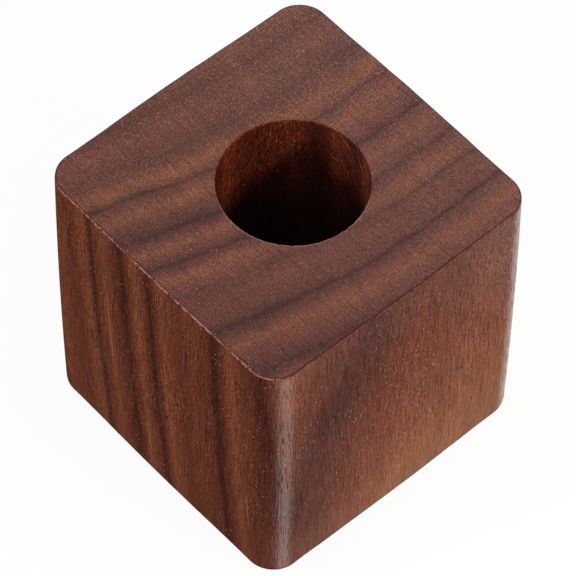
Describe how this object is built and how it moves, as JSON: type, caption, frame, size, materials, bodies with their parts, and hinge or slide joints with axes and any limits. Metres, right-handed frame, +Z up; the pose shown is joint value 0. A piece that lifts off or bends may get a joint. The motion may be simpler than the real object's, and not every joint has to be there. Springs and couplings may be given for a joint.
{
  "type": "pen stand",
  "caption": "Solid walnut cube with rounded upright corners and a round bore in its top that holds pens upright, felt in the bore floor and rubber feet underneath.",
  "frame": {"origin": "middle of the footprint, on the plane that the feet rest on", "axes": "+Z up along the bore, -Y out of the front face, +X to the right of the front face"},
  "size_m": [0.05, 0.05, 0.051],
  "materials": {
    "walnut": "oiled dark walnut, satin",
    "felt": "charcoal wool felt",
    "rubber": "matte black rubber"
  },
  "bodies": {
    "root": {"walnut_block": "walnut", "bore_felt": "felt", "foot_front_left": "rubber", "foot_front_right": "rubber", "foot_back_left": "rubber", "foot_back_right": "rubber"}
  },
  "joints": []
}
